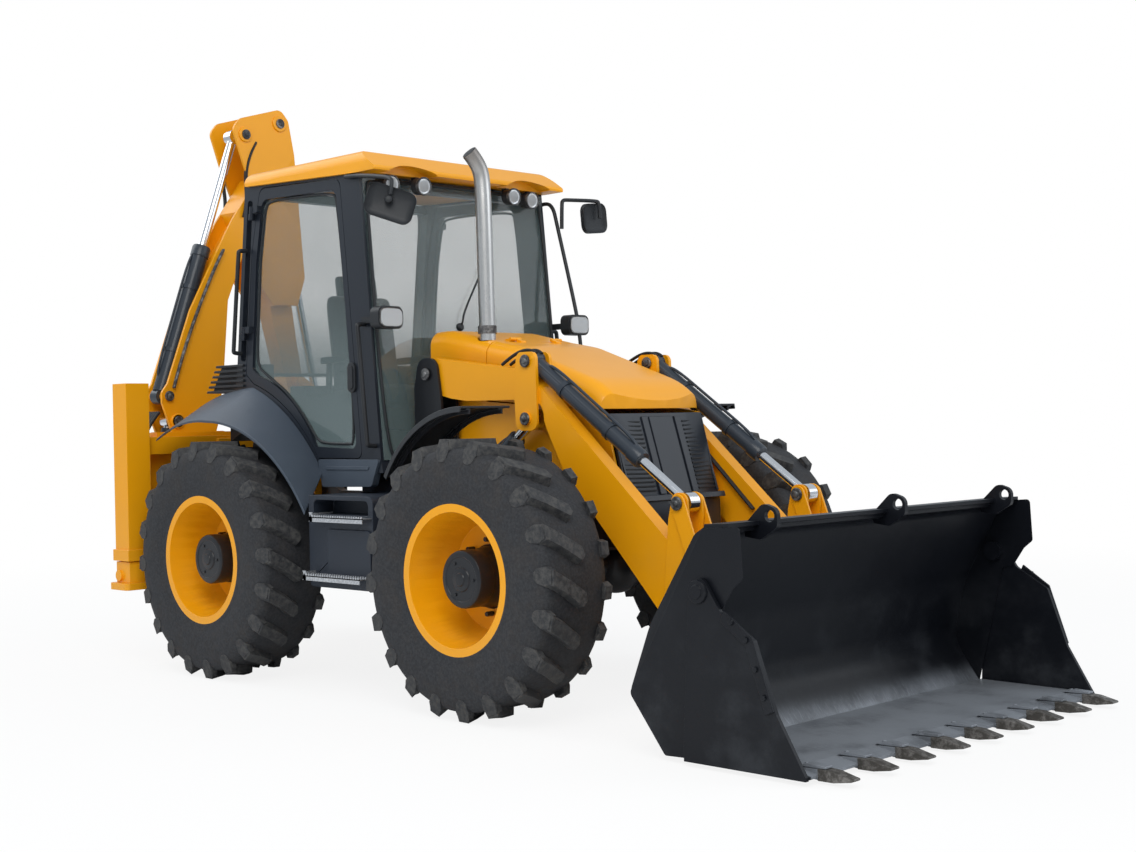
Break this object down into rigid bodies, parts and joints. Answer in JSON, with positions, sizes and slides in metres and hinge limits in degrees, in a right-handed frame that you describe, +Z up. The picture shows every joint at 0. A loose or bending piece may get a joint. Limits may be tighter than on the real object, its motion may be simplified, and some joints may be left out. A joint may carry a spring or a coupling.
{
  "type": "backhoe loader",
  "caption": "Four-wheel construction machine with a clam loading bucket in front, a glazed cab, and a side-shift digging arm with stabilizer legs behind.",
  "frame": {"origin": "on the ground, at the middle of the machine's length and width, under the cab", "axes": "+X forward, +Y to the machine's left, +Z up"},
  "size_m": [6.154, 2.464, 3.6785],
  "materials": {
    "yellow_paint": "gloss",
    "black_paint": "satin",
    "rod_chrome": "polished",
    "grey_plastic": "matte",
    "galvanised": "satin",
    "exhaust_steel": "satin",
    "seat_fabric": "matte",
    "cab_glass": "gloss",
    "tyre": "matte"
  },
  "bodies": {
    "machine": {"chassis": "black_paint", "rear_frame": "yellow_paint", "axles": "black_paint", "driveline": "yellow_paint", "cowl": "yellow_paint", "grille": "black_paint", "exhaust_stack": "exhaust_steel", "cab_frame": "black_paint", "cab_roof": "yellow_paint", "cab_glass": "cab_glass", "cab_interior": "grey_plastic", "seat": "seat_fabric", "fenders": "grey_plastic", "step_boxes": "grey_plastic", "steps": "galvanised", "lamps": "grey_plastic", "mirrors": "grey_plastic"},
    "bonnet": {"bonnet": "yellow_paint"},
    "loader_arms": {"loader_arms": "yellow_paint"},
    "tipping_levers": {"tipping_levers": "yellow_paint"},
    "tipping_links": {"tipping_links": "yellow_paint"},
    "loader_bucket": {"bucket_shell": "black_paint"},
    "clam": {"bucket_clam": "black_paint"},
    "lift_ram_barrels": {"lift_ram_barrels": "black_paint"},
    "lift_ram_rods": {"lift_ram_rods": "rod_chrome"},
    "tip_ram_barrels": {"tip_ram_barrels": "black_paint"},
    "tip_ram_rods": {"tip_ram_rods": "rod_chrome"},
    "shift_carriage": {"shift_carriage": "yellow_paint"},
    "kingpost": {"kingpost": "yellow_paint"},
    "boom": {"boom": "yellow_paint"},
    "dipper": {"dipper": "yellow_paint"},
    "dig_rocker": {"dig_rocker": "yellow_paint"},
    "dig_link": {"dig_link": "yellow_paint"},
    "dig_bucket": {"dig_bucket": "black_paint"},
    "boom_ram_barrel": {"boom_ram_barrel": "black_paint"},
    "boom_ram_rod": {"boom_ram_rod": "rod_chrome"},
    "dipper_ram_barrel": {"dipper_ram_barrel": "black_paint"},
    "dipper_ram_rod": {"dipper_ram_rod": "rod_chrome"},
    "dig_ram_barrel": {"dig_ram_barrel": "black_paint"},
    "dig_ram_rod": {"dig_ram_rod": "rod_chrome"},
    "door_right": {"door_right": "black_paint", "door_glass_right": "cab_glass"},
    "stabilizer_leg_right": {"stabilizer_leg_right": "yellow_paint"},
    "knuckle_rear_right": {"knuckle_rear_right": "black_paint"},
    "wheel_rear_right": {"rim_rear_right": "yellow_paint", "tyre_rear_right": "tyre"},
    "knuckle_front_right": {"knuckle_front_right": "black_paint"},
    "wheel_front_right": {"rim_front_right": "yellow_paint", "tyre_front_right": "tyre"},
    "door_left": {"door_left": "black_paint", "door_glass_left": "cab_glass"},
    "stabilizer_leg_left": {"stabilizer_leg_left": "yellow_paint"},
    "knuckle_rear_left": {"knuckle_rear_left": "black_paint"},
    "wheel_rear_left": {"rim_rear_left": "yellow_paint", "tyre_rear_left": "tyre"},
    "knuckle_front_left": {"knuckle_front_left": "black_paint"},
    "wheel_front_left": {"rim_front_left": "yellow_paint", "tyre_front_left": "tyre"}
  },
  "joints": [
    {"name": "steer_rear_right", "type": "hinge", "parent": "machine", "child": "knuckle_rear_right", "pos_m": [-1.427, -0.72, 0.695], "axis": [0, 0, 1], "range_deg": [-20, 20]},
    {"name": "spin_rear_right", "type": "hinge", "parent": "knuckle_rear_right", "child": "wheel_rear_right", "pos_m": [-1.427, -0.96, 0.695], "axis": [0, 1, 0], "continuous": true},
    {"name": "steer_rear_left", "type": "hinge", "parent": "machine", "child": "knuckle_rear_left", "pos_m": [-1.427, 0.72, 0.695], "axis": [0, 0, 1], "range_deg": [-20.5, 20.5]},
    {"name": "spin_rear_left", "type": "hinge", "parent": "knuckle_rear_left", "child": "wheel_rear_left", "pos_m": [-1.427, 0.96, 0.695], "axis": [0, 1, 0], "continuous": true},
    {"name": "steer_front_right", "type": "hinge", "parent": "machine", "child": "knuckle_front_right", "pos_m": [0.793, -0.72, 0.695], "axis": [0, 0, 1], "range_deg": [-20, 20]},
    {"name": "spin_front_right", "type": "hinge", "parent": "knuckle_front_right", "child": "wheel_front_right", "pos_m": [0.793, -0.96, 0.695], "axis": [0, 1, 0], "continuous": true},
    {"name": "steer_front_left", "type": "hinge", "parent": "machine", "child": "knuckle_front_left", "pos_m": [0.793, 0.72, 0.695], "axis": [0, 0, 1], "range_deg": [-20.5, 20.5]},
    {"name": "spin_front_left", "type": "hinge", "parent": "knuckle_front_left", "child": "wheel_front_left", "pos_m": [0.793, 0.96, 0.695], "axis": [0, 1, 0], "continuous": true},
    {"name": "bonnet_hinge", "type": "hinge", "parent": "machine", "child": "bonnet", "pos_m": [0.216, 0, 1.923], "axis": [0, -1, 0], "range_deg": [0, 45]},
    {"name": "door_hinge_right", "type": "hinge", "parent": "machine", "child": "door_right", "pos_m": [-1.555, -0.748, 2.032], "axis": [-0.1512, 0, -0.9885], "range_deg": [0, 75]},
    {"name": "door_hinge_left", "type": "hinge", "parent": "machine", "child": "door_left", "pos_m": [-1.555, 0.748, 2.032], "axis": [0.1512, 0, 0.9885], "range_deg": [0, 75]},
    {"name": "loader_lift", "type": "hinge", "parent": "machine", "child": "loader_arms", "pos_m": [-0.102, 0, 1.735], "axis": [0, -1, 0], "range_deg": [-3, 78]},
    {"name": "bucket_tilt", "type": "hinge", "parent": "loader_arms", "child": "loader_bucket", "pos_m": [1.898, 0, 0.345], "axis": [0, 1, 0], "range_deg": [-45, 124]},
    {"name": "clam_open", "type": "hinge", "parent": "loader_bucket", "child": "clam", "pos_m": [2.388, 0, 0.739], "axis": [0, -1, 0], "range_deg": [0, 75]},
    {"name": "lift_ram_swing", "type": "hinge", "parent": "machine", "child": "lift_ram_barrels", "pos_m": [-0.097, 0, 0.895], "axis": [0, -1, 0], "range_deg": [-2.48, 39.44]},
    {"name": "lift_ram_stroke", "type": "slide", "parent": "lift_ram_barrels", "child": "lift_ram_rods", "axis": [0.8015, 0, 0.598], "range_m": [-0.02944, 0.69053]},
    {"name": "tipping_lever_swing", "type": "hinge", "parent": "loader_arms", "child": "tipping_levers", "pos_m": [1.653, 0, 0.615], "axis": [0, -1, 0], "range_deg": [-39.89, 15.12]},
    {"name": "tipping_link_swing", "type": "hinge", "parent": "tipping_levers", "child": "tipping_links", "pos_m": [1.714, 0, 1.059], "axis": [0, -1, 0], "range_deg": [-9.12, 23.38]},
    {"name": "tip_ram_swing", "type": "hinge", "parent": "loader_arms", "child": "tip_ram_barrels", "pos_m": [0.686, 0, 1.777], "axis": [0, -1, 0], "range_deg": [-2.06, 3.92]},
    {"name": "tip_ram_stroke", "type": "slide", "parent": "tip_ram_barrels", "child": "tip_ram_rods", "axis": [0.8198, 0, -0.5726], "range_m": [-0.10485, 0.28366]},
    {"name": "side_shift", "type": "slide", "parent": "machine", "child": "shift_carriage", "axis": [0, 1, 0], "range_m": [0, 1.24]},
    {"name": "slew", "type": "hinge", "parent": "shift_carriage", "child": "kingpost", "pos_m": [-2.777, -0.62, 0.925], "axis": [0, 0, 1], "range_deg": [0, 180]},
    {"name": "boom_swing", "type": "hinge", "parent": "kingpost", "child": "boom", "pos_m": [-2.777, -0.44, 0.945], "axis": [-1, 0, 0], "range_deg": [0, 100]},
    {"name": "dipper_swing", "type": "hinge", "parent": "boom", "child": "dipper", "pos_m": [-2.777, 0.225, 3.135], "axis": [1, 0, 0], "range_deg": [0, 115]},
    {"name": "dig_bucket_swing", "type": "hinge", "parent": "dipper", "child": "dig_bucket", "pos_m": [-2.777, 0.52, 1.495], "axis": [1, 0, 0], "range_deg": [-20, 110]},
    {"name": "boom_ram_swing", "type": "hinge", "parent": "kingpost", "child": "boom_ram_barrel", "pos_m": [-2.777, -0.61, 1.075], "axis": [1, 0, 0], "range_deg": [-94.3, 1]},
    {"name": "boom_ram_stroke", "type": "slide", "parent": "boom_ram_barrel", "child": "boom_ram_rod", "axis": [0, 0.1897, 0.9818], "range_m": [-0.003, 0.33116]},
    {"name": "dipper_ram_swing", "type": "hinge", "parent": "boom", "child": "dipper_ram_barrel", "pos_m": [-2.777, -0.59, 1.682], "axis": [1, 0, 0], "range_deg": [-3.62, 1]},
    {"name": "dipper_ram_stroke", "type": "slide", "parent": "dipper_ram_barrel", "child": "dipper_ram_rod", "axis": [0, 0.3263, 0.9453], "range_m": [-0.66188, 0.003]},
    {"name": "dig_ram_swing", "type": "hinge", "parent": "dipper", "child": "dig_ram_barrel", "pos_m": [-2.777, 0.314, 3.584], "axis": [1, 0, 0], "range_deg": [-1.07, 1.4]},
    {"name": "dig_ram_stroke", "type": "slide", "parent": "dig_ram_barrel", "child": "dig_ram_rod", "axis": [0, 0.1957, -0.9807], "range_m": [-0.46044, 0.08617]},
    {"name": "rocker_swing", "type": "hinge", "parent": "dipper", "child": "dig_rocker", "pos_m": [-2.777, 0.46689, 1.79026], "axis": [1, 0, 0], "range_deg": [-21, 111]},
    {"name": "dig_link_swing", "type": "hinge", "parent": "dig_rocker", "child": "dig_link", "pos_m": [-2.777, 0.70501, 1.62474], "axis": [1, 0, 0], "range_deg": [-111, 21]},
    {"name": "stabilizer_right", "type": "slide", "parent": "machine", "child": "stabilizer_leg_right", "axis": [0, 0, -1], "range_m": [0, 0.6]},
    {"name": "stabilizer_left", "type": "slide", "parent": "machine", "child": "stabilizer_leg_left", "axis": [0, 0, -1], "range_m": [0, 0.6]}
  ],
  "couplings": [
    {"joint": "steer_rear_left", "follows": "steer_rear_right", "ratio": 1},
    {"joint": "steer_front_left", "follows": "steer_front_right", "ratio": 1},
    {"joint": "lift_ram_swing", "follows": "loader_lift", "ratio": 0.49283},
    {"joint": "lift_ram_stroke", "follows": "loader_lift", "m_per_rad": 0.50504},
    {"joint": "tipping_lever_swing", "follows": "bucket_tilt", "ratio": -0.31366},
    {"joint": "tipping_link_swing", "follows": "bucket_tilt", "ratio": 0.1805},
    {"joint": "tip_ram_swing", "follows": "bucket_tilt", "ratio": 0.023542},
    {"joint": "tip_ram_stroke", "follows": "bucket_tilt", "m_per_rad": 0.12968},
    {"joint": "boom_ram_swing", "follows": "boom_swing", "ratio": -0.93302},
    {"joint": "boom_ram_stroke", "follows": "boom_swing", "m_per_rad": 0.18802},
    {"joint": "dipper_ram_swing", "follows": "dipper_swing", "ratio": -0.022748},
    {"joint": "dipper_ram_stroke", "follows": "dipper_swing", "m_per_rad": -0.32827},
    {"joint": "dig_ram_swing", "follows": "dig_bucket_swing", "ratio": 0.003675},
    {"joint": "dig_ram_stroke", "follows": "dig_bucket_swing", "m_per_rad": -0.23827},
    {"joint": "rocker_swing", "follows": "dig_bucket_swing", "ratio": 1},
    {"joint": "dig_link_swing", "follows": "dig_bucket_swing", "ratio": -1}
  ]
}
